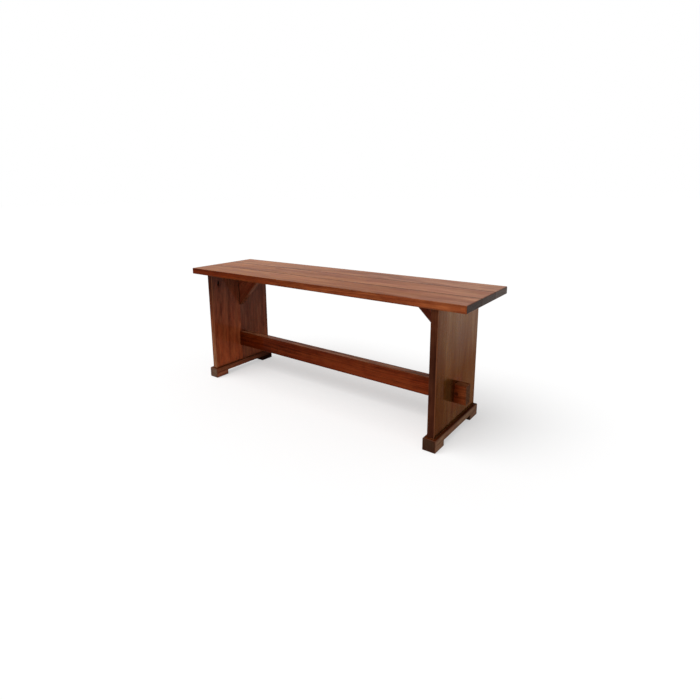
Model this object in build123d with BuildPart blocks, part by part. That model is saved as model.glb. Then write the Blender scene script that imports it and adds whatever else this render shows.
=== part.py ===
from build123d import *

import os
from math import atan, cos, degrees, radians, sin

# A backless trestle bench in dark lacquered hardwood. Millimetres, +Z up, X along the seat.
# The origin is on the floor under the middle of the bench, and the front is towards -Y.

# The whole bench
bench_length = 1206
bench_depth = 330
bench_height = 467

# Seat: boards glued edge to edge, rounded above and bevelled below, with a small bevel on the top
# arrises that makes the joint lines
seat_thickness = 24
seat_boards = 3
joint_bevel = 1.4
seat_ease = 2.2
seat_under_bevel = 1.3

# Dowels in the joints between the seat boards
dowel_radius = 4
dowel_length = 42
dowels_per_joint = 4

# End panels: plain upright boards set in from the ends and the long edges of the seat
panel_thickness = 24
end_overhang = 86
edge_overhang = 9.5
panel_ease = 2

# Shoes: a rail under each panel, and a block pad under each end of the rail
shoe_width = 43
shoe_reach = 9.5
rail_height = 21
rail_ease = 3.5
pad_height = 19.5
pad_length = 61.5
pad_ease = 1.2

# Stretcher: one board through both panels, held on the outside by a round peg through each end
stretcher_height = 64.5
stretcher_thickness = 33
stretcher_lift = 107
stretcher_ease = 2.5
tenon_reach = 38
tenon_end_bevel = 1.5
peg_radius = 6.3
peg_end_bevel = 0.8

# Corner braces: a triangle between each panel and the underside of the seat
brace_seat_leg = 154
brace_panel_leg = 150
brace_thickness = 22.5
brace_tip = 3
brace_ease = 1
brace_screw_share = 0.8
brace_grip = 18

# Pocket holes: stepped holes drilled on a slant from the inner face of each panel up into the seat
pocket_angle = 15
pocket_radius = 4.8
pocket_grip = 22
pocket_inset = 34

# Screws, each with the size of its head, its shank and its length under the head or over all
pocket_head_radius = 4.2
pocket_head_height = 2.6
pocket_shank_radius = 2
pocket_screw_length = 38
brace_head_radius = 4
brace_head_height = 2.4
brace_shank_radius = 2
brace_screw_length = 34
brace_bore_radius = 5
rail_head_radius = 4.6
rail_head_height = 3.4
rail_shank_radius = 2.4
rail_screw_length = 60
rail_screw_pitch = 170
pad_head_radius = 3.8
pad_head_height = 2.8
pad_shank_radius = 1.9
pad_screw_length = 32
head_sink = 0.6
slot_width = 1.1
slot_depth_share = 0.5

# Clearance round whatever sits in a hole, and the overrun of a cut
fit_gap = 0.12
overrun = 5

# What follows from the sizes above
seat_underside = bench_height - seat_thickness
board_width = bench_depth / seat_boards
joint_count = seat_boards - 1
panel_width = bench_depth - 2 * edge_overhang
panel_outer = bench_length / 2 - end_overhang
panel_inner = panel_outer - panel_thickness
panel_middle = (panel_outer + panel_inner) / 2
panel_bottom = pad_height + rail_height
panel_height = seat_underside - panel_bottom
shoe_length = panel_width + 2 * shoe_reach
stretcher_middle = stretcher_lift + stretcher_height / 2
tenon_tip = panel_outer + tenon_reach
peg_offset = panel_outer + peg_radius + fit_gap
pocket_y = panel_width / 2 - pocket_inset
pad_middle = (shoe_length - pad_length) / 2

sides = {"left": -1, "right": 1}
ends = {"front": -1, "rear": 1}

os.makedirs("parts", exist_ok=True)


def row(count, pitch):
    """Places of a centred row of so many things at one pitch."""
    return [(i - (count - 1) / 2) * pitch for i in range(count)]


def boring(point, into):
    """A plane whose hole features are drilled from the point in the given direction."""
    return Plane(origin=point, z_dir=-Vector(*into))


def screw_outline_plane(point, into):
    """A plane through a screw's axis: its x runs across the screw and its y runs into the wood."""
    along = Vector(*into)
    across = Vector(0, 1, 0)
    return Plane(origin=point, x_dir=across, z_dir=across.cross(along))


def cap_screw(point, into, head_radius, head_height, shank_radius, length):
    """Adds a screw whose flat bearing face lies at the point, with its round head outside it."""
    with BuildSketch(screw_outline_plane(point, into)) as outline:
        with BuildLine():
            Polyline(
                (0, -head_height),
                (head_radius, -head_height),
                (head_radius, 0),
                (shank_radius, 0),
                (shank_radius, length),
                (0, length),
                close=True,
            )
        make_face()
    revolve(outline.sketch, axis=Axis(point, into))
    cut_slot(back_along(point, into, head_height), into, head_radius, head_height)


def flat_screw(point, into, head_radius, head_height, shank_radius, length):
    """Adds a countersunk screw whose flat head lies at the point."""
    with BuildSketch(screw_outline_plane(point, into)) as outline:
        with BuildLine():
            Polyline(
                (0, 0),
                (head_radius, 0),
                (shank_radius, head_height),
                (shank_radius, length),
                (0, length),
                close=True,
            )
        make_face()
    revolve(outline.sketch, axis=Axis(point, into))
    cut_slot(point, into, head_radius, head_height)


def cut_slot(point, into, head_radius, head_height):
    """Cuts the driver's slot right across a screw's head."""
    with BuildSketch(Plane(origin=point, z_dir=Vector(*into))) as slot:
        Rectangle(2 * head_radius + overrun, slot_width)
    extrude(slot.sketch, amount=head_height * slot_depth_share, mode=Mode.SUBTRACT)


def countersink(head, into, head_radius, head_height, shank_radius, depth):
    """Cuts the hole of a countersunk screw that is driven a little below the surface. The cone runs on
    from the screw's head to the surface."""
    widening = (head_radius - shank_radius) / head_height
    with Locations(boring(back_along(head, into, head_sink), into)):
        CounterSinkHole(
            radius=shank_radius + fit_gap,
            counter_sink_radius=head_radius + fit_gap + head_sink * widening,
            depth=depth + head_sink,
            counter_sink_angle=2 * degrees(atan(widening)),
        )


def slant(side):
    """The direction of a pocket screw: up, and outwards by the pocket's angle."""
    return (side * sin(radians(pocket_angle)), 0, cos(radians(pocket_angle)))


def pocket_tops(side):
    """Where the pocket screws of one panel pass from the panel into the seat."""
    return [(side * panel_middle, y, seat_underside) for y in (-pocket_y, pocket_y)]


def back_along(point, direction, distance):
    """The point that lies so far back against a direction."""
    return tuple(Vector(*point) - Vector(*direction) * distance)


def brace_seat_screw(side):
    """Where a brace's upright screw enters the seat."""
    return (side * (panel_inner - brace_screw_share * brace_seat_leg), 0, seat_underside)


def brace_panel_screw(side):
    """Where a brace's level screw enters the panel."""
    return (side * panel_inner, 0, seat_underside - brace_screw_share * brace_panel_leg)


def rail_screw_heads(side):
    """Where the heads of the screws lie that come up through the rail into the panel."""
    return [(side * panel_middle, y, pad_height + head_sink) for y in row(len(ends), rail_screw_pitch)]


def pad_screw_head(side, end):
    """Where the head of one pad's screw lies."""
    return (side * panel_middle, end * pad_middle, head_sink)


def joint_lines():
    """The depths at which one seat board meets the next, from front to rear."""
    return row(joint_count, board_width)


def dowel_places():
    """The places of the dowels along each joint."""
    return row(dowels_per_joint, bench_length / dowels_per_joint)


up = (0, 0, 1)
pocket_bite = pocket_screw_length - pocket_grip
brace_bite = brace_screw_length - brace_grip


# Seat boards, each a strip of one blank with eased outer arrises
for index, name in enumerate(["seat_board_front", "seat_board_middle", "seat_board_rear"]):
    with BuildPart() as board:
        with BuildSketch(Plane.XY.offset(seat_underside)):
            RectangleRounded(bench_length, bench_depth, seat_ease)
        extrude(amount=seat_thickness)
        fillet(board.faces().sort_by(Axis.Z)[-1].edges(), radius=seat_ease)
        chamfer(board.faces().sort_by(Axis.Z)[0].edges(), length=seat_under_bevel)
        with BuildSketch(Plane.XY.offset(seat_underside)):
            with Locations((0, row(seat_boards, board_width)[index])):
                Rectangle(bench_length, board_width)
        extrude(amount=seat_thickness, mode=Mode.INTERSECT)
        with BuildSketch(Plane.YZ):
            for joint_y in joint_lines():
                with BuildLine():
                    Polyline(
                        (joint_y, bench_height - joint_bevel),
                        (joint_y + joint_bevel + overrun, bench_height + overrun),
                        (joint_y - joint_bevel - overrun, bench_height + overrun),
                        close=True,
                    )
                make_face()
        extrude(amount=bench_length, both=True, mode=Mode.SUBTRACT)
        for joint_y in joint_lines():
            with BuildSketch(Plane.XZ.offset(-joint_y - dowel_length / 2 - fit_gap)):
                with Locations([(x, seat_underside + seat_thickness / 2) for x in dowel_places()]):
                    Circle(dowel_radius + fit_gap)
            extrude(amount=dowel_length + 2 * fit_gap, mode=Mode.SUBTRACT)
        for side in sides.values():
            for top in pocket_tops(side):
                with Locations(boring(top, slant(side))):
                    Hole(pocket_shank_radius + fit_gap, pocket_bite + fit_gap)
            with Locations(boring(brace_seat_screw(side), up)):
                Hole(brace_shank_radius + fit_gap, brace_bite + fit_gap)
    board.part.label = name
    export_step(board.part, f"parts/{name}.step")


# Dowels that line up the seat boards
for index, name in enumerate(["seat_dowels_front", "seat_dowels_rear"]):
    with BuildPart() as dowels:
        with BuildSketch(Plane.XZ.offset(-joint_lines()[index] - dowel_length / 2)):
            with Locations([(x, seat_underside + seat_thickness / 2) for x in dowel_places()]):
                Circle(dowel_radius)
        extrude(amount=dowel_length)
    dowels.part.label = name
    export_step(dowels.part, f"parts/{name}.step")


for side_name, side in sides.items():
    outwards = (side, 0, 0)

    # End panel, with its mortise, its pocket holes and the holes of the other screws
    with BuildPart() as panel:
        with BuildSketch(Plane.XY.offset(panel_bottom)):
            with Locations((side * panel_middle, 0)):
                Rectangle(panel_thickness, panel_width)
        extrude(amount=panel_height)
        fillet(panel.edges().filter_by(Axis.Z), radius=panel_ease)
        with BuildSketch(Plane.YZ.offset(side * panel_middle)):
            with Locations((0, stretcher_middle)):
                RectangleRounded(
                    stretcher_thickness + 2 * fit_gap,
                    stretcher_height + 2 * fit_gap,
                    stretcher_ease + fit_gap,
                )
        extrude(amount=panel_thickness, both=True, mode=Mode.SUBTRACT)
        for top in pocket_tops(side):
            mouth = back_along(top, slant(side), panel_thickness / 2 / sin(radians(pocket_angle)))
            floor_depth = panel_thickness / 2 / sin(radians(pocket_angle)) - pocket_grip
            with Locations(boring(mouth, slant(side))):
                CounterBoreHole(
                    radius=pocket_shank_radius + fit_gap,
                    counter_bore_radius=pocket_radius,
                    counter_bore_depth=floor_depth,
                    depth=floor_depth + pocket_grip + overrun,
                )
        with Locations(boring(brace_panel_screw(side), outwards)):
            Hole(brace_shank_radius + fit_gap, brace_bite + fit_gap)
        for head in rail_screw_heads(side):
            with Locations(boring(head, up)):
                Hole(rail_shank_radius + fit_gap, rail_screw_length + fit_gap)
    panel.part.label = f"end_panel_{side_name}"
    export_step(panel.part, f"parts/end_panel_{side_name}.step")

    # Pocket screws
    with BuildPart() as pocket_screws:
        for top in pocket_tops(side):
            cap_screw(
                back_along(top, slant(side), pocket_grip),
                slant(side),
                pocket_head_radius,
                pocket_head_height,
                pocket_shank_radius,
                pocket_screw_length,
            )
    pocket_screws.part.label = f"pocket_screws_{side_name}"
    export_step(pocket_screws.part, f"parts/pocket_screws_{side_name}.step")

    # Shoe rail, as long as the panel is wide and a little more at each end
    with BuildPart() as rail:
        with BuildSketch(Plane.XY.offset(pad_height)):
            with Locations((side * panel_middle, 0)):
                Rectangle(shoe_width, shoe_length)
        extrude(amount=rail_height)
        fillet(rail.faces().sort_by(Axis.Z)[-1].edges(), radius=rail_ease)
        fillet(rail.edges().filter_by(Axis.Z), radius=pad_ease)
        for head in rail_screw_heads(side):
            countersink(head, up, rail_head_radius, rail_head_height, rail_shank_radius, rail_screw_length)
        for end in ends.values():
            with Locations(boring(pad_screw_head(side, end), up)):
                Hole(pad_shank_radius + fit_gap, pad_screw_length + fit_gap)
    rail.part.label = f"shoe_rail_{side_name}"
    export_step(rail.part, f"parts/shoe_rail_{side_name}.step")

    # Screws up through the rail into the panel
    with BuildPart() as rail_screws_set:
        for head in rail_screw_heads(side):
            flat_screw(head, up, rail_head_radius, rail_head_height, rail_shank_radius, rail_screw_length)
    rail_screws_set.part.label = f"rail_screws_{side_name}"
    export_step(rail_screws_set.part, f"parts/rail_screws_{side_name}.step")

    # Foot pads, flush with the sides and the end of the rail
    for end_name, end in ends.items():
        with BuildPart() as pad:
            with BuildSketch():
                with Locations((side * panel_middle, end * pad_middle)):
                    Rectangle(shoe_width, pad_length)
            extrude(amount=pad_height)
            chamfer(pad.faces().sort_by(Axis.Z)[0].edges(), length=pad_ease)
            fillet(pad.edges().filter_by(Axis.Z), radius=pad_ease)
            head = pad_screw_head(side, end)
            countersink(head, up, pad_head_radius, pad_head_height, pad_shank_radius, pad_height)
        pad.part.label = f"foot_pad_{side_name}_{end_name}"
        export_step(pad.part, f"parts/foot_pad_{side_name}_{end_name}.step")

    # Screws up through the pads into the rail
    with BuildPart() as pad_screws:
        for end in ends.values():
            head = pad_screw_head(side, end)
            flat_screw(head, up, pad_head_radius, pad_head_height, pad_shank_radius, pad_screw_length)
    pad_screws.part.label = f"pad_screws_{side_name}"
    export_step(pad_screws.part, f"parts/pad_screws_{side_name}.step")

    # Peg through the stretcher's end, hard against the outer face of the panel
    with BuildPart() as peg:
        with BuildSketch(Plane.XZ.offset(-stretcher_thickness / 2)):
            with Locations((side * peg_offset, stretcher_middle)):
                Circle(peg_radius)
        extrude(amount=stretcher_thickness)
        chamfer(peg.edges().filter_by(GeomType.CIRCLE), length=peg_end_bevel)
    peg.part.label = f"tenon_peg_{side_name}"
    export_step(peg.part, f"parts/tenon_peg_{side_name}.step")

    # Corner brace, blunt at both tips, with a counterbored hole near each
    with BuildPart() as brace:
        with BuildSketch(Plane.XZ):
            with BuildLine():
                Polyline(
                    (side * panel_inner, seat_underside),
                    (side * (panel_inner - brace_seat_leg), seat_underside),
                    (side * (panel_inner - brace_seat_leg), seat_underside - brace_tip),
                    (side * (panel_inner - brace_tip), seat_underside - brace_panel_leg),
                    (side * panel_inner, seat_underside - brace_panel_leg),
                    close=True,
                )
            make_face()
        extrude(amount=brace_thickness / 2, both=True)
        slope = (brace.faces() - brace.faces().filter_by(Axis.X) - brace.faces().filter_by(Axis.Z)).sort_by(
            SortBy.AREA
        )[-1]
        chamfer(slope.edges().sort_by(SortBy.LENGTH)[-2:], length=brace_ease)
        for target, into in ((brace_seat_screw(side), up), (brace_panel_screw(side), outwards)):
            bearing = back_along(target, into, brace_grip)
            with BuildSketch(Plane(origin=bearing, z_dir=-Vector(*into))):
                Circle(brace_bore_radius)
            extrude(amount=max(brace_seat_leg, brace_panel_leg), mode=Mode.SUBTRACT)
            with Locations(boring(bearing, into)):
                Hole(brace_shank_radius + fit_gap, brace_grip + overrun)
    brace.part.label = f"corner_brace_{side_name}"
    export_step(brace.part, f"parts/corner_brace_{side_name}.step")

    # The brace's two screws, one up into the seat and one level into the panel
    with BuildPart() as brace_screws:
        for target, into in ((brace_seat_screw(side), up), (brace_panel_screw(side), outwards)):
            cap_screw(
                back_along(target, into, brace_grip),
                into,
                brace_head_radius,
                brace_head_height,
                brace_shank_radius,
                brace_screw_length,
            )
    brace_screws.part.label = f"brace_screws_{side_name}"
    export_step(brace_screws.part, f"parts/brace_screws_{side_name}.step")


# Stretcher, with a hole for the peg through each end
with BuildPart() as stretcher:
    with BuildSketch(Plane.YZ):
        with Locations((0, stretcher_middle)):
            RectangleRounded(stretcher_thickness, stretcher_height, stretcher_ease)
    extrude(amount=tenon_tip, both=True)
    chamfer(stretcher.faces().sort_by(Axis.X)[0].edges(), length=tenon_end_bevel)
    chamfer(stretcher.faces().sort_by(Axis.X)[-1].edges(), length=tenon_end_bevel)
    with BuildSketch(Plane.XZ.offset(-stretcher_thickness)):
        with Locations([(side * peg_offset, stretcher_middle) for side in sides.values()]):
            Circle(peg_radius + fit_gap)
    extrude(amount=2 * stretcher_thickness, mode=Mode.SUBTRACT)
stretcher.part.label = "stretcher"
export_step(stretcher.part, "parts/stretcher.step")
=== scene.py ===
import math

import bpy
from mathutils import Matrix, Vector


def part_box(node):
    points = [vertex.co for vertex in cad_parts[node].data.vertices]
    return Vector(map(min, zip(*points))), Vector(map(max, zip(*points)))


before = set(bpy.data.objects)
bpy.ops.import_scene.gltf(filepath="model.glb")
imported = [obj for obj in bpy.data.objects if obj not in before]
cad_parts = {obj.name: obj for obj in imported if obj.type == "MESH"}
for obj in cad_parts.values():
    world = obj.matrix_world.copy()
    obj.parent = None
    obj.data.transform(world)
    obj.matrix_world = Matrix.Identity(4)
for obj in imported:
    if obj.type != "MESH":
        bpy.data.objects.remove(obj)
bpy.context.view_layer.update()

# A trestle bench in stained hardwood under clear gloss lacquer. Metres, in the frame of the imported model.

# Camera, fitted to the straight edges of the photograph
PHOTO_PIXELS = 700
FOCAL_PIXELS = 474.3
CENTRE_X_PIXELS = 325.126
CENTRE_Y_PIXELS = 295.581
CAMERA_PLACE = Vector((1.0781, -1.3709, 0.7702))
CAMERA_AZIMUTH = math.radians(38.62)
CAMERA_DIP = math.radians(12.24)
CAMERA_ROLL = math.radians(-0.88)
SENSOR_MM = 36

# Light: the room's even share and colour, and the wide lamp's strength, spread and direction
ROOM_LIGHT = 0.42
WHITE = (1.0, 1.0, 1.0, 1.0)
KEY_STRENGTH = 2.2
KEY_SPREAD = math.radians(50)
KEY_FROM = (-0.35, -0.75, 1.6)

# Floor: half its side, the paper's shade for the light it throws back, and its shade and glow where seen
FLOOR_REACH = 40.0
PAPER = 0.78
SEEN_PAPER = 0.52
SEEN_GLOW = 0.48

# Noise drawn out along the grain: its scale per metre along and across, its detail and its roughness
PITH_WANDER = (1.3, 5.0, 2.0, 0.45)
FINE_FIBRE = (6, 620, 4.0, 0.65)
BROAD_FIBRE = (1.6, 95, 3.0, 0.55)
PORE_DASHES = (130, 2300, 1.0, 0.5)
SLOW_MOTTLE = (3.2, 11, 2.0, 0.5)
QUICK_MOTTLE = (26, 80, 3.0, 0.6)
STAIN_PATCHES = (9, 38, 3.0, 0.6)
BREAKUP = (14, 60, 3.0, 0.6)
COAT_RIPPLE = (18, 45, 2.0, 0.5)

# Noise that isn't drawn out: its scale per metre, its detail and its roughness
RING_WIDTHS = (240, 2.5, 0.55)
STEEL_CLOUD = (420, 3.0, 0.6)
TURNING_MARKS = (2600, 2.0, 0.5)

# The part of a noise's range that is stretched to run from 0 to 1
NOISE_RANGE = (0.30, 0.70)
PATCH_RANGE = (0.35, 0.65)

# Figure: how far a pith wanders, the fine share of the fibre, and the slow share of the mottling
WANDER_REACH = 0.07
FINE_FIBRE_SHARE = 0.45
SLOW_MOTTLE_SHARE = 0.55

# Pores: the level of noise where they start, how far a ring lowers it, and how softly they start
PORE_LEVEL = 0.72
PORE_CROWDING = 0.10
PORE_RANGE = (-0.04, 0.05)

# Place in the tree: the step from board to board, the distance from the pith, and how both ways sway
TREE_STEP = 3.7
PITH_DISTANCE = 0.085
PITH_DISTANCE_SWAY = 0.03
PITH_DISTANCE_TURN = 1.7
PITH_SIDE_SWAY = 0.045
PITH_SIDE_TURN = 2.3

# Tone: the shares of rings and fibre, mottling having the rest, its middle, and its dark and light factors
RING_SHARE = 0.25
FIBRE_SHARE = 0.35
MID_TONE = 0.5
FIGURE_DARK = (0.48, 0.38, 0.34, 1.0)
FIGURE_LIGHT = (1.44, 1.56, 1.64, 1.0)

# Contrast of the tone: the share lost on end grain, what an edge adds, and that of a panel's outer face
END_CONTRAST_LOSS = 0.5
EDGE_CONTRAST = 0.6
OUTER_CONTRAST = 1.1

# Factors on the stain where it turned redder or yellower, in pores, and beside a tenon, where its reflection
# and shade are painted
REDDER = (0.93, 0.82, 0.81, 1.0)
YELLOWER = (1.07, 1.18, 1.20, 1.0)
PORE = (0.40, 0.32, 0.30, 1.0)
PORE_SHARE = 0.6
TENON_REFLECTION_TINT = (1.2, 0.68, 0.52, 1.0)

# Where masks start and end: the cosine for a way of facing, and elsewhere a distance
FACING_RANGE = (0.55, 0.85)
GROOVE_RANGE = (0.0011, 0.0018)
BRACE_SEAM_RANGE = (0.003, 0.007)
HOLE_RANGE = (0.0025, 0.0045)
TENON_REFLECTION_RANGE = (0.01, 0.05)
LINE_START = 0.0025
RUBBED_HIGHLIGHT_FADE = 0.001

# Raggedness of the painted tenon reflection's end and of the rubbed arrises with their painted highlight,
# and the distance added to an arris that gets neither
TENON_REFLECTION_RAGGEDNESS = 0.02
ARRIS_RAGGEDNESS = 0.004
UNMARKED_ARRIS_SHIFT = 0.004

# Dark joints, and painted shade in holes: colour, share of cover, and what is left in a brace's seam and on
# end grain
DARK_JOINT_AND_HOLE_SHADE = (22, 8, 5)
DARK_JOINT_AND_HOLE_SHADE_SHARE = 0.9
BRACE_SEAM_SHARE = 0.7
END_GROOVE_SHARE = 0.4

# Wood under the coat: its roughness, what fibre and pores add to it, and how far these stand out or sink
WOOD_ROUGHNESS = 0.34
FIBRE_ROUGHNESS = 0.10
PORE_ROUGHNESS = 0.12
FIBRE_RELIEF = 0.35
PORE_RELIEF = -0.8

# Bumps of the grain and of the clear coat, each as strength and height
GRAIN_BUMP = (0.35, 0.00025)
COAT_BUMP = (0.12, 0.0006)

# Clear coat: how far rings and fibre vary its weight, and its roughness
COAT_STREAKS = 0.28
COAT_ROUGHNESS = 0.09

# The polished outer face of an end panel mirrors its surroundings in the wood's own colour
OUTER_POLISH = 0.20
OUTER_MIRROR = 0.42
OUTER_MIRROR_TINT = (1.0, 0.55, 0.2, 1.0)

# Zinc plated steel: its two greys, its range of roughness, and its turning marks as strength and height
STEEL_DARK = (118, 112, 104)
STEEL_LIGHT = (168, 163, 154)
STEEL_ROUGHNESS = (0.30, 0.48)
STEEL_BUMP = (0.25, 0.00008)

# The way the grain runs in each piece, as the names of the axes along, across and through the board
ALONG_X = ("X", "Y", "Z")
ALONG_X_UPRIGHT = ("X", "Z", "Y")
ALONG_Y = ("Y", "X", "Z")
ALONG_Z = ("Z", "Y", "X")

# A corner brace's grain runs along its slope
BRACE_TURN = math.radians(45)


def add(tree, kind, feeds=None, **settings):
    """Adds a shader node, sets its properties and feeds its inputs with numbers, colours or sockets."""
    made = tree.nodes.new(kind)
    for name, value in settings.items():
        setattr(made, name, value)
    for name, value in (feeds or {}).items():
        if isinstance(value, bpy.types.NodeSocket):
            tree.links.new(value, made.inputs[name])
        else:
            made.inputs[name].default_value = value
    return made


def maths(tree, operation, *values):
    """One sum on numbers."""
    return add(tree, "ShaderNodeMath", dict(enumerate(values)), operation=operation).outputs[0]


def vector_maths(tree, operation, *values):
    """One sum on vectors that gives a vector."""
    return add(tree, "ShaderNodeVectorMath", dict(enumerate(values)), operation=operation).outputs[0]


def vector_measure(tree, operation, *values):
    """One sum on vectors that gives a number."""
    return add(tree, "ShaderNodeVectorMath", dict(enumerate(values)), operation=operation).outputs["Value"]


def noise(tree, vector, scale, detail, roughness, dimensions="3D"):
    """Soft noise from 0 to 1. A single number as the vector gives noise along a line."""
    place = "W" if dimensions == "1D" else "Vector"
    feeds = {place: vector, "Scale": scale, "Detail": detail, "Roughness": roughness}
    return add(tree, "ShaderNodeTexNoise", feeds, noise_dimensions=dimensions).outputs[0]


def stretch(tree, place, along, across):
    """Grain space with its own scale along the grain and across it."""
    return vector_maths(tree, "MULTIPLY", place, (along, across, across))


def grain_noise(tree, place, pattern):
    """Noise drawn out along the grain."""
    along, across, detail, roughness = pattern
    return noise(tree, stretch(tree, place, along, across), 1.0, detail, roughness)


def step(tree, value, low, high, bottom=0.0, top=1.0):
    """A smooth step of a value, from bottom at low to top at high."""
    feeds = {"Value": value, "From Min": low, "From Max": high, "To Min": bottom, "To Max": top}
    return add(tree, "ShaderNodeMapRange", feeds, interpolation_type="SMOOTHSTEP").outputs[0]


def mix(tree, factor, first, second, blend="MIX"):
    """Mixes two colours. The node's sockets for colours are its inputs 6 and 7 and its output 2."""
    feeds = {0: factor, 6: first, 7: second}
    return add(tree, "ShaderNodeMix", feeds, data_type="RGBA", blend_type=blend).outputs[2]


def bump(tree, height, strength, distance):
    """A surface direction that follows a height."""
    feeds = {"Height": height, "Strength": strength, "Distance": distance}
    return add(tree, "ShaderNodeBump", feeds).outputs[0]


def object_place(tree):
    """The place in the frame. Every piece's object sits at the origin."""
    return add(tree, "ShaderNodeTexCoord").outputs["Object"]


def object_axis(tree, axis):
    """The place along one axis of the frame."""
    return add(tree, "ShaderNodeSeparateXYZ", {0: object_place(tree)}).outputs[axis]


def colour(red, green, blue):
    """A shader colour from the 0 to 255 values that a screen shows, by the sRGB curve."""

    def decode(value):
        share = value / 255
        return share / 12.92 if share <= 0.04045 else ((share + 0.055) / 1.055) ** 2.4

    return (decode(red), decode(green), decode(blue), 1.0)


def new_material(name):
    """An empty material, its node tree and its shader, joined to the output."""
    made = bpy.data.materials.new(name)
    made.use_nodes = True
    tree = made.node_tree
    tree.nodes.clear()
    shader = add(tree, "ShaderNodeBsdfPrincipled")
    output = add(tree, "ShaderNodeOutputMaterial")
    tree.links.new(shader.outputs[0], output.inputs["Surface"])
    return made, tree, shader


def side_of(node):
    """-1 for a piece at the bench's left end, and 1 for one at its right end."""
    return -1 if node.endswith("left") else 1


def build_grain_group():
    """The figure of a board, shared by all the wood. It takes a place with x along the grain and the pith on
    the x axis, and gives growth rings, fibre streaks, open pores and slow mottling, each from 0 to 1."""
    group = bpy.data.node_groups.new("Board figure", "ShaderNodeTree")
    group.interface.new_socket("Place", in_out="INPUT", socket_type="NodeSocketVector")
    for name in ("Rings", "Fibre", "Pores", "Mottle"):
        group.interface.new_socket(name, in_out="OUTPUT", socket_type="NodeSocketFloat")
    place = add(group, "NodeGroupInput").outputs[0]
    out = add(group, "NodeGroupOutput")

    # Rings: distance from a pith that wanders, read through noise along a line so that their widths vary
    along, across, detail, roughness = PITH_WANDER
    drawn_out = stretch(group, place, along, across)
    feeds = {"Vector": drawn_out, "Scale": 1.0, "Detail": detail, "Roughness": roughness}
    wander = add(group, "ShaderNodeTexNoise", feeds).outputs[1]
    centred = vector_maths(group, "SUBTRACT", wander, (0.5, 0.5, 0.5))
    shift = vector_maths(group, "MULTIPLY", centred, (0, WANDER_REACH, WANDER_REACH))
    bent = vector_maths(group, "ADD", place, shift)
    radius = vector_measure(group, "LENGTH", vector_maths(group, "MULTIPLY", bent, (0, 1, 1)))
    rings = noise(group, radius, *RING_WIDTHS, "1D")
    group.links.new(step(group, rings, *NOISE_RANGE), out.inputs["Rings"])

    # Fibre: streaks a few tenths to two millimetres wide and many centimetres long, and broader ones
    fine = grain_noise(group, place, FINE_FIBRE)
    broad = maths(group, "MULTIPLY", grain_noise(group, place, BROAD_FIBRE), 1 - FINE_FIBRE_SHARE)
    fibre = maths(group, "MULTIPLY_ADD", fine, FINE_FIBRE_SHARE, broad)
    group.links.new(step(group, fibre, *NOISE_RANGE), out.inputs["Fibre"])

    # Pores: short dark dashes along the grain, more of them where the ring's noise is high
    dashes = grain_noise(group, place, PORE_DASHES)
    level = maths(group, "MULTIPLY_ADD", rings, -PORE_CROWDING, PORE_LEVEL)
    pores = step(group, maths(group, "SUBTRACT", dashes, level), *PORE_RANGE)
    group.links.new(pores, out.inputs["Pores"])

    # Mottle: stain taken up unevenly, in patches drawn out along the grain
    slow = grain_noise(group, place, SLOW_MOTTLE)
    quick = maths(group, "MULTIPLY", grain_noise(group, place, QUICK_MOTTLE), 1 - SLOW_MOTTLE_SHARE)
    mottle = maths(group, "MULTIPLY_ADD", slow, SLOW_MOTTLE_SHARE, quick)
    group.links.new(step(group, mottle, *NOISE_RANGE), out.inputs["Mottle"])
    return group


GRAIN_GROUP = build_grain_group()


def grain_place(tree, order, seed, turn):
    """The place in grain space: the piece's own stretch of its own tree."""
    place = object_place(tree)
    if turn:
        feeds = {"Vector": place, "Angle": turn}
        place = add(tree, "ShaderNodeVectorRotate", feeds, rotation_type="Y_AXIS").outputs[0]
    parts = add(tree, "ShaderNodeSeparateXYZ", {0: place}).outputs
    feeds = {number: parts[axis] for number, axis in enumerate(order)}
    sorted_place = add(tree, "ShaderNodeCombineXYZ", feeds).outputs[0]
    offset = (
        seed * TREE_STEP,
        PITH_SIDE_SWAY * math.sin(seed * PITH_SIDE_TURN),
        PITH_DISTANCE + PITH_DISTANCE_SWAY * math.cos(seed * PITH_DISTANCE_TURN),
    )
    return vector_maths(tree, "ADD", sorted_place, offset)


def box_insets(tree, node):
    """How far a place on a piece lies inside the nearer face of its box, across each axis."""
    low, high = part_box(node)
    centre, half = (low + high) / 2, (high - low) / 2
    offset = vector_maths(tree, "SUBTRACT", object_place(tree), tuple(centre))
    inset = vector_maths(tree, "SUBTRACT", tuple(half), vector_maths(tree, "ABSOLUTE", offset))
    return add(tree, "ShaderNodeSeparateXYZ", {0: inset}).outputs


def slope_inset(tree, node):
    """How far a place on a corner brace lies behind its sloping face."""
    low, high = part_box(node)
    side = side_of(node)
    run, rise = high.x - low.x, high.z - low.z
    foot = low.x if side < 0 else high.x
    normal = Vector((side * rise, 0, run)).normalized()
    offset = vector_maths(tree, "SUBTRACT", object_place(tree), (foot, 0, low.z))
    return vector_measure(tree, "DOT_PRODUCT", offset, tuple(normal))


def arris_and_depth(tree, node):
    """The distance from the nearest arris, and the depth below the nearest face, which only the walls of
    holes have."""
    x, y, z = box_insets(tree, node)
    if node.startswith("corner_brace"):
        slope = slope_inset(tree, node)
        return maths(tree, "MAXIMUM", slope, y), maths(tree, "MINIMUM", slope, y)
    lesser, greater = maths(tree, "MINIMUM", x, y), maths(tree, "MAXIMUM", x, y)
    depth = maths(tree, "MINIMUM", lesser, z)
    # A shoe has no arris where its rail lies on its pads
    if node.startswith("shoe_rail"):
        z = maths(tree, "SUBTRACT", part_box(node)[1].z, object_axis(tree, "Z"))
    elif node.startswith("foot_pad"):
        z = maths(tree, "SUBTRACT", object_axis(tree, "Z"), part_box(node)[0].z)
    return maths(tree, "MAXIMUM", lesser, maths(tree, "MINIMUM", greater, z)), depth


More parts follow.
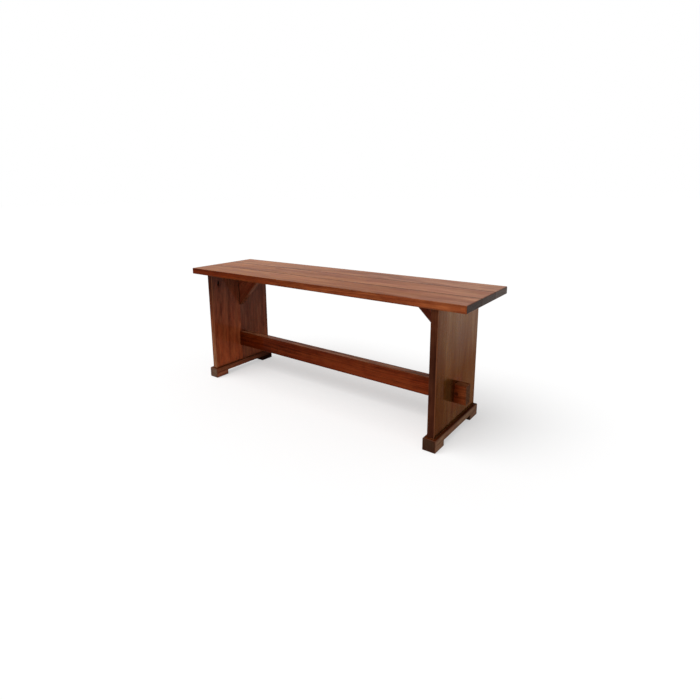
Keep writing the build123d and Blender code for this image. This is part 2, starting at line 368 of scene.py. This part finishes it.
def facing(tree, axis, side=0):
    """1 on the faces that look along an axis, and 0 on the others. A side of 1 or -1 takes one way only."""
    direction = [float(side or 1) if name == axis else 0.0 for name in ("X", "Y", "Z")]
    normal = add(tree, "ShaderNodeNewGeometry").outputs["Normal"]
    share = vector_measure(tree, "DOT_PRODUCT", normal, direction)
    if not side:
        share = maths(tree, "ABSOLUTE", share)
    return step(tree, share, *FACING_RANGE)


def groove_mask(tree):
    """1 in the groove at each joint between the seat boards."""
    across = object_axis(tree, "Y")
    front = maths(tree, "ABSOLUTE", maths(tree, "SUBTRACT", across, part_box("seat_board_front")[1].y))
    rear = maths(tree, "ABSOLUTE", maths(tree, "SUBTRACT", across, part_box("seat_board_rear")[0].y))
    return step(tree, maths(tree, "MINIMUM", front, rear), *GROOVE_RANGE, 1.0, 0.0)


def brace_seam_mask(tree, brace):
    """High on a brace along the line where it meets its panel."""
    low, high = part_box(brace)
    panel_side = low.x if side_of(brace) < 0 else high.x
    gap = maths(tree, "ABSOLUTE", maths(tree, "SUBTRACT", object_axis(tree, "X"), panel_side))
    return step(tree, gap, *BRACE_SEAM_RANGE, BRACE_SEAM_SHARE, 0.0)


def tenon_reflection_mask(tree, breakup):
    """1 beside the stretcher's tenon, where its reflection and shade are painted, fading out raggedly a few
    centimetres from it.
    """
    beyond = [maths(tree, "MINIMUM", inset, 0.0) for inset in box_insets(tree, "stretcher")[1:]]
    both = add(tree, "ShaderNodeCombineXYZ", dict(enumerate(beyond))).outputs[0]
    outside = vector_measure(tree, "LENGTH", both)
    return step(tree, maths(tree, "MULTIPLY_ADD", breakup, TENON_REFLECTION_RAGGEDNESS, outside), *TENON_REFLECTION_RANGE, 1.0, 0.0)


def dark_joint_and_hole_shade_mask(tree, node, masks, depth):
    """High in the dark joints between the seat boards and where a brace meets its panel, and in holes, where
    shade is painted.
    """
    if node.startswith("seat_board"):
        ends = step(tree, masks["end"], 0, 1, 1.0, END_GROOVE_SHARE)
        return maths(tree, "MULTIPLY", groove_mask(tree), ends)
    # Painted shade on the walls of holes
    dark_joint_and_hole_shade = step(tree, depth, *HOLE_RANGE)
    if node.startswith("corner_brace"):
        dark_joint_and_hole_shade = maths(tree, "MAXIMUM", dark_joint_and_hole_shade, brace_seam_mask(tree, node))
    return dark_joint_and_hole_shade


def zone(*stops, across=()):
    """The stain and the clear coat of one kind of face. Each stop has its share of the piece's length, its
    colour and its weight of coat. Stops across run from the front to the rear, with factors for these."""
    return {"stops": [(share, colour(*stain), coat) for share, stain, coat in stops], "across": across}


def plain(stain, coat=0.0):
    """A zone that is the same all over."""
    return zone((0, stain, coat))


def ramp(tree, node, axis, stops):
    """The colour and the coat at a place along an axis of a piece, between stops."""
    low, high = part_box(node)
    number = "XYZ".index(axis)
    feeds = {"Value": object_axis(tree, axis), "From Min": low[number], "From Max": high[number]}
    made = add(tree, "ShaderNodeValToRGB", {0: add(tree, "ShaderNodeMapRange", feeds).outputs[0]})
    points = made.color_ramp.elements
    points.remove(points[1])
    while len(points) < len(stops):
        points.new(1.0)
    for point, (share, tint, coat) in zip(points, stops):
        point.position = share
        point.color = (*tint[:3], coat)
    return made.outputs


def zone_finish(tree, node, axis, part):
    """The stain and the weight of coat of one zone, with its stops across worked in."""
    stain, coat = ramp(tree, node, axis, part["stops"])
    if part["across"]:
        tint, coat_factor = ramp(tree, node, "Y", part["across"])
        stain = mix(tree, 1.0, stain, tint, "MULTIPLY")
        coat = maths(tree, "MULTIPLY", coat, coat_factor)
    return stain, coat


def zones(tree, node, order, finish):
    """The stain and the weight of coat on the broad faces, the narrow edges, the end grain and, on an end
    panel, the outer face, and the masks of all but the broad faces."""
    masks = {"edge": facing(tree, order[1]), "end": facing(tree, order[0])}
    if "outer" in finish:
        masks["outer"] = facing(tree, "X", side_of(node))
    stain, coat = zone_finish(tree, node, order[0], finish["face"])
    for name, mask in masks.items():
        own_stain, own_coat = zone_finish(tree, node, order[0], finish[name])
        stain = mix(tree, mask, stain, own_stain)
        coat = maths(tree, "MULTIPLY_ADD", mask, maths(tree, "SUBTRACT", own_coat, coat), coat)
    return stain, coat, masks


def figured(tree, place, figure, masks, own_contrast, stain):
    """The stain with the board's figure in it: rings, streaks and mottling darken or lighten it together,
    patches turn redder or yellower, and pores are dark."""
    rings, fibre, pores, mottle = figure
    tone = maths(tree, "MULTIPLY", rings, RING_SHARE)
    tone = maths(tree, "MULTIPLY_ADD", fibre, FIBRE_SHARE, tone)
    tone = maths(tree, "MULTIPLY_ADD", mottle, 1 - RING_SHARE - FIBRE_SHARE, tone)
    contrast = maths(tree, "MULTIPLY_ADD", masks["end"], -END_CONTRAST_LOSS * own_contrast, own_contrast)
    contrast = maths(tree, "MULTIPLY_ADD", masks["edge"], EDGE_CONTRAST, contrast)
    if "outer" in masks:
        contrast = maths(tree, "MULTIPLY_ADD", masks["outer"], OUTER_CONTRAST - own_contrast, contrast)
    tone = maths(tree, "MULTIPLY_ADD", maths(tree, "SUBTRACT", tone, MID_TONE), contrast, MID_TONE)
    tint = mix(tree, 1.0, stain, mix(tree, tone, FIGURE_DARK, FIGURE_LIGHT), "MULTIPLY")
    patches = step(tree, grain_noise(tree, place, STAIN_PATCHES), *PATCH_RANGE)
    tint = mix(tree, 1.0, tint, mix(tree, patches, REDDER, YELLOWER), "MULTIPLY")
    in_pores = mix(tree, 1.0, tint, PORE, "MULTIPLY")
    return mix(tree, maths(tree, "MULTIPLY", pores, PORE_SHARE), tint, in_pores)


def worn_with_painted_light(tree, node, place, masks, finish, distance, tint):
    """The tint with a painted reflection and shade of the tenon beside it, and the arrises rubbed thin and
    given a painted highlight, with a darker line beside them."""
    breakup = grain_noise(tree, place, BREAKUP)
    if "outer" in masks:
        # Painted reflection and shade of the tenon: the outer face is darker and redder beside it
        tenon_reflection = maths(tree, "MULTIPLY", masks["outer"], tenon_reflection_mask(tree, breakup))
        tint = mix(tree, tenon_reflection, tint, mix(tree, 1.0, tint, TENON_REFLECTION_TINT, "MULTIPLY"))
    line = step(tree, distance, LINE_START, finish["line_width"], 1.0, 0.0)
    tint = mix(tree, maths(tree, "MULTIPLY", line, finish["line_share"]), tint, finish["line"])
    ragged = maths(tree, "MULTIPLY_ADD", breakup, ARRIS_RAGGEDNESS, distance)
    if node.startswith("end_panel"):
        # The arris at the panel's lower X side gets neither the wear nor the painted highlight
        low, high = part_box(node)
        third, middle = (low.x * 2 + high.x) / 3, (low.x + high.x) / 2
        unmarked_arris = step(tree, object_axis(tree, "X"), third, middle, UNMARKED_ARRIS_SHIFT, 0.0)
        ragged = maths(tree, "ADD", ragged, unmarked_arris)
    # Rubbed arrises: wood worn lighter through the finish, with a painted highlight
    rubbed_highlight = step(tree, ragged, finish["rubbed_highlight_width"], finish["rubbed_highlight_width"] + RUBBED_HIGHLIGHT_FADE, 1.0, 0.0)
    return mix(tree, maths(tree, "MULTIPLY", rubbed_highlight, finish["rubbed_highlight_share"]), tint, finish["rubbed_highlight"])


def lacquer(tree, shader, place, figure, masks, coat, dark_joint_and_hole_shade):
    """Gloss: a clear coat over a softer base, and a surface that the grain telegraphs through."""
    rings, fibre, pores, _ = figure
    rough = maths(tree, "MULTIPLY_ADD", pores, PORE_ROUGHNESS, WOOD_ROUGHNESS)
    rough = maths(tree, "MULTIPLY_ADD", fibre, FIBRE_ROUGHNESS, rough)
    if "outer" in masks:
        rough = maths(tree, "MULTIPLY_ADD", masks["outer"], -OUTER_POLISH, rough)
        mirror = maths(tree, "MULTIPLY", masks["outer"], OUTER_MIRROR)
        tree.links.new(mirror, shader.inputs["Metallic"])
        shader.inputs["Specular Tint"].default_value = OUTER_MIRROR_TINT
    tree.links.new(rough, shader.inputs["Roughness"])
    relief = maths(tree, "MULTIPLY_ADD", pores, PORE_RELIEF, maths(tree, "MULTIPLY", fibre, FIBRE_RELIEF))
    tree.links.new(bump(tree, relief, *GRAIN_BUMP), shader.inputs["Normal"])
    ripple = grain_noise(tree, place, COAT_RIPPLE)
    tree.links.new(bump(tree, ripple, *COAT_BUMP), shader.inputs["Coat Normal"])
    streaks = maths(tree, "MULTIPLY_ADD", maths(tree, "ADD", fibre, rings), COAT_STREAKS, 1 - COAT_STREAKS)
    coat = maths(tree, "MULTIPLY", coat, streaks)
    coat = maths(tree, "MULTIPLY", coat, maths(tree, "SUBTRACT", 1.0, dark_joint_and_hole_shade))
    tree.links.new(coat, shader.inputs["Coat Weight"])
    shader.inputs["Specular IOR Level"].default_value = 0.0
    shader.inputs["Coat Roughness"].default_value = COAT_ROUGHNESS


def wood(node, finish, order, seed, turn):
    """Stained and lacquered wood for one piece."""
    made, tree, shader = new_material(f"{node}_wood")
    place = grain_place(tree, order, seed, turn)
    group = add(tree, "ShaderNodeGroup", node_tree=GRAIN_GROUP)
    tree.links.new(place, group.inputs[0])
    figure = tuple(group.outputs)
    stain, coat, masks = zones(tree, node, order, finish)
    distance, depth = arris_and_depth(tree, node)
    tint = figured(tree, place, figure, masks, finish["contrast"], stain)
    tint = worn_with_painted_light(tree, node, place, masks, finish, distance, tint)
    dark_joint_and_hole_shade = dark_joint_and_hole_shade_mask(tree, node, masks, depth)
    # Dark joints, and painted shade in holes
    tint = mix(tree, maths(tree, "MULTIPLY", dark_joint_and_hole_shade, DARK_JOINT_AND_HOLE_SHADE_SHARE), tint, colour(*DARK_JOINT_AND_HOLE_SHADE))
    tree.links.new(tint, shader.inputs["Base Color"])
    lacquer(tree, shader, place, figure, masks, coat, dark_joint_and_hole_shade)
    return made


def steel():
    """Zinc plated steel with a dull grey skin and fine turning marks."""
    made, tree, shader = new_material("screw_steel")
    place = object_place(tree)
    cloud = noise(tree, place, *STEEL_CLOUD)
    tree.links.new(mix(tree, cloud, colour(*STEEL_DARK), colour(*STEEL_LIGHT)), shader.inputs["Base Color"])
    tree.links.new(step(tree, cloud, *NOISE_RANGE, *STEEL_ROUGHNESS), shader.inputs["Roughness"])
    marks = noise(tree, place, *TURNING_MARKS)
    tree.links.new(bump(tree, marks, *STEEL_BUMP), shader.inputs["Normal"])
    shader.inputs["Metallic"].default_value = 1.0
    return made


# Finishes: the stain by kind of face, the darker line beside an arris, and the rubbed wood on the arris with
# its painted highlight
SEAT = {
    "face": zone((0.2, (148, 81, 25), 0.26), (0.8, (138, 74, 32), 0.22), (1, (146, 86, 50), 0.28)),
    "edge": zone((0.2, (102, 36, 6), 0.06), (1, (154, 80, 42), 0.06)),
    "end": plain((54, 36, 25), 0.22),
    "contrast": 1.0,
    "line": colour(70, 30, 14),
    "line_share": 0.35,
    "line_width": 0.0065,
    "rubbed_highlight": colour(160, 92, 50),
    "rubbed_highlight_share": 0.12,
    "rubbed_highlight_width": 0.0026,
}
MIDDLE_SEAT = dict(
    SEAT,
    face=zone((0.4, (151, 82, 26), 0.27), (0.7, (140, 75, 33), 0.25), (1, (145, 86, 50), 0.28)),
    end=plain((62, 44, 32), 0.24),
    contrast=1.1,
)
REAR_SEAT = dict(
    SEAT,
    face=zone((0.2, (148, 82, 30), 0.29), (0.5, (143, 79, 35), 0.26), (1, (154, 95, 58), 0.31)),
    end=plain((78, 58, 46), 0.26),
    contrast=1.25,
)

# The inner face of an end panel is lighter in front of a line near its middle, darker behind it, and lighter
# again towards its rear edge
FRONT_TONE = (1.33, 1.36, 1.22)
REAR_TONE = (0.74, 0.95, 1.22)
REAR_EDGE_TONE = (1.05, 1.30, 1.45)

# The place of the step between them and half its blur, as shares of the panel's depth
TONE_STEP = 0.47
TONE_STEP_BLUR = 0.008

RIGHT_PANEL = dict(
    SEAT,
    face=zone(
        # Darker towards the top: painted shade under the seat
        (0, (146, 67, 34), 0.10),
        (1, (84, 46, 34), 0.10),
        across=(
            (0, FRONT_TONE, 1),
            (TONE_STEP - TONE_STEP_BLUR, FRONT_TONE, 1),
            (TONE_STEP + TONE_STEP_BLUR, REAR_TONE, 1),
            (1, REAR_EDGE_TONE, 1),
        ),
    ),
    # The narrow edges lighten at the top, where a highlight is painted
    edge=zone((0.4, (64, 28, 14), 0.05), (0.6, (54, 22, 10), 0.05), (1, (88, 42, 22), 0.05)),
    end=plain((60, 30, 16), 0.05),
    # The outer face carries a painted reflection: greyer and lighter towards the top, bluer across its
    # middle, and darker low down and at the front
    outer=zone(
        (0.42, (80, 49, 21), 0.08),
        (0.7, (88, 57, 24), 0.24),
        (1, (103, 72, 54), 0.33),
        across=(
            (0, (0.76, 0.69, 0.84), 0.6),
            (0.35, (1.12, 1.14, 1.26), 1.2),
            (1, (1.14, 1.18, 0.88), 1.34),
        ),
    ),
    contrast=1.5,
    line=colour(64, 28, 13),
    line_share=0.15,
    line_width=0.025,
    rubbed_highlight=colour(124, 74, 48),
    rubbed_highlight_share=0.6,
    rubbed_highlight_width=0.0038,
)
LEFT_PANEL = dict(
    RIGHT_PANEL,
    # The narrow edges are light low down and darken towards the top: painted shade under the seat
    edge=zone((0, (152, 98, 66), 0.05), (0.5, (116, 60, 34), 0.05), (0.85, (62, 24, 10), 0.05)),
)

LEFT_SHOE = dict(
    SEAT,
    face=plain((76, 34, 12), 0.06),
    # The sides darken towards the rear: painted shade
    edge=zone((0.45, (128, 68, 40), 0.10), (1, (38, 14, 8), 0.02)),
    end=plain((98, 71, 54), 0.10),
    line_share=0.3,
    rubbed_highlight=colour(130, 80, 52),
    rubbed_highlight_share=0.35,
)
LEFT_FRONT_PAD = dict(
    LEFT_SHOE,
    edge=plain((152, 88, 58), 0.10),
)
# The rear pad is painted dark: painted shade under the rear of the bench
LEFT_REAR_PAD_IN_PAINTED_SHADE = dict(
    LEFT_SHOE,
    edge=plain((34, 15, 9), 0.02),
    end=plain((34, 15, 9), 0.02),
    rubbed_highlight_share=0.1,
)
RIGHT_SHOE = dict(
    LEFT_SHOE,
    edge=plain((126, 86, 59), 0.10),
    end=plain((61, 36, 21), 0.10),
)

STRETCHER = dict(
    SEAT,
    # Darker towards the left end, painted shade beside the left panel; lighter on the tenon past the right
    # panel, painted light
    face=zone((0.03, (84, 27, 5), 0.04), (0.97, (112, 44, 17), 0.04), (1, (144, 70, 36), 0.04)),
    edge=zone((0, (150, 94, 66), 0.16), (1, (132, 78, 46), 0.16)),
    end=plain((85, 46, 18), 0.07),
    contrast=1.9,
    rubbed_highlight_share=0.3,
)
BRACE = dict(
    STRETCHER,
    face=plain((112, 51, 30), 0.04),
    edge=plain((160, 98, 74), 0.08),
    contrast=1.3,
    rubbed_highlight_share=0.2,
)
PEG = dict(
    SEAT,
    face=plain((62, 20, 8), 0.05),
    edge=plain((62, 20, 8), 0.05),
    end=plain((76, 27, 11), 0.05),
)
DOWEL = dict(
    SEAT,
    face=plain((184, 146, 102)),
    edge=plain((184, 146, 102)),
    end=plain((160, 122, 82)),
    contrast=0.8,
    line_share=0.0,
    rubbed_highlight_share=0.0,
)

# The finish and the way of the grain of each wooden piece, by how its name begins. The first match counts.
WOODEN_PIECES = {
    "seat_board_middle": (MIDDLE_SEAT, ALONG_X),
    "seat_board_rear": (REAR_SEAT, ALONG_X),
    "seat_board": (SEAT, ALONG_X),
    "seat_dowels": (DOWEL, ALONG_Y),
    "end_panel_left": (LEFT_PANEL, ALONG_Z),
    "end_panel_right": (RIGHT_PANEL, ALONG_Z),
    "shoe_rail_left": (LEFT_SHOE, ALONG_Y),
    "foot_pad_left_front": (LEFT_FRONT_PAD, ALONG_Y),
    "foot_pad_left_rear": (LEFT_REAR_PAD_IN_PAINTED_SHADE, ALONG_Y),
    "shoe_rail_right": (RIGHT_SHOE, ALONG_Y),
    "foot_pad_right": (RIGHT_SHOE, ALONG_Y),
    "stretcher": (STRETCHER, ALONG_X_UPRIGHT),
    "tenon_peg": (PEG, ALONG_Y),
    "corner_brace": (BRACE, ALONG_X_UPRIGHT),
}


def dress(node, material):
    """Gives a piece its material."""
    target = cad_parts[node]
    target.data.materials.clear()
    target.data.materials.append(material)


def dress_everything():
    """Every wooden piece gets wood cut from its own stretch of tree, and the screws share one steel."""
    metal = steel()
    for seed, node in enumerate(sorted(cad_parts), 1):
        if "screws" in node:
            dress(node, metal)
            continue
        finish, order = next(row for start, row in WOODEN_PIECES.items() if node.startswith(start))
        turn = -side_of(node) * BRACE_TURN if node.startswith("corner_brace") else 0.0
        dress(node, wood(node, finish, order, seed, turn))


def build_camera():
    """The photograph's camera."""
    data = bpy.data.cameras.new("Camera")
    made = bpy.data.objects.new("Camera", data)
    bpy.context.scene.collection.objects.link(made)
    ahead = Vector(
        (
            -math.sin(CAMERA_AZIMUTH) * math.cos(CAMERA_DIP),
            math.cos(CAMERA_AZIMUTH) * math.cos(CAMERA_DIP),
            -math.sin(CAMERA_DIP),
        )
    )
    level = Vector((math.cos(CAMERA_AZIMUTH), math.sin(CAMERA_AZIMUTH), 0))
    upright = level.cross(ahead)
    right = math.cos(CAMERA_ROLL) * level + math.sin(CAMERA_ROLL) * upright
    up = math.cos(CAMERA_ROLL) * upright - math.sin(CAMERA_ROLL) * level
    turn = Matrix((right, up, -ahead)).transposed().to_4x4()
    made.matrix_world = Matrix.Translation(CAMERA_PLACE) @ turn
    data.sensor_width = SENSOR_MM
    data.lens = FOCAL_PIXELS / PHOTO_PIXELS * SENSOR_MM
    data.shift_x = (PHOTO_PIXELS / 2 - CENTRE_X_PIXELS) / PHOTO_PIXELS
    data.shift_y = (CENTRE_Y_PIXELS - PHOTO_PIXELS / 2) / PHOTO_PIXELS
    bpy.context.scene.camera = made


def seen_mask(tree):
    """1 for what the camera sees, straight, in gloss or through glass, and 0 for what lights the bench."""
    path = add(tree, "ShaderNodeLightPath").outputs
    seen = maths(tree, "MAXIMUM", path["Is Camera Ray"], path["Is Glossy Ray"])
    return maths(tree, "MAXIMUM", seen, path["Is Transmission Ray"])


def build_floor():
    """A plain pale floor. It shows white to the camera and in gloss, and keeps the bench's shadow."""
    mesh = bpy.data.meshes.new("floor")
    sides = ((-1, -1), (1, -1), (1, 1), (-1, 1))
    corners = [(x * FLOOR_REACH, y * FLOOR_REACH, 0) for x, y in sides]
    mesh.from_pydata(corners, [], [(0, 1, 2, 3)])
    floor = bpy.data.objects.new("floor", mesh)
    bpy.context.scene.collection.objects.link(floor)
    made, tree, shader = new_material("floor_paper")
    shader.inputs["Roughness"].default_value = 1.0
    shader.inputs["Specular IOR Level"].default_value = 0.0
    shader.inputs["Emission Color"].default_value = WHITE
    seen = seen_mask(tree)
    shade = maths(tree, "MULTIPLY_ADD", seen, SEEN_PAPER - PAPER, PAPER)
    tree.links.new(shade, shader.inputs["Base Color"])
    tree.links.new(maths(tree, "MULTIPLY", seen, SEEN_GLOW), shader.inputs["Emission Strength"])
    mesh.materials.append(made)


def build_light():
    """Plain soft studio light: a very wide lamp overhead, a little to the front, and an even white room."""
    data = bpy.data.lights.new("overhead", "SUN")
    data.energy = KEY_STRENGTH
    data.angle = KEY_SPREAD
    lamp = bpy.data.objects.new("overhead", data)
    bpy.context.scene.collection.objects.link(lamp)
    lamp.rotation_euler = (-Vector(KEY_FROM)).to_track_quat("-Z", "Y").to_euler()
    world = bpy.data.worlds.new("Studio")
    bpy.context.scene.world = world
    world.use_nodes = True
    tree = world.node_tree
    tree.nodes.clear()
    strength = maths(tree, "MULTIPLY_ADD", seen_mask(tree), 1.0 - ROOM_LIGHT, ROOM_LIGHT)
    glow = add(tree, "ShaderNodeBackground", {"Color": WHITE, "Strength": strength})
    output = add(tree, "ShaderNodeOutputWorld")
    tree.links.new(glow.outputs[0], output.inputs["Surface"])


dress_everything()
build_camera()
build_floor()
build_light()
bpy.context.scene.view_settings.view_transform = "Standard"
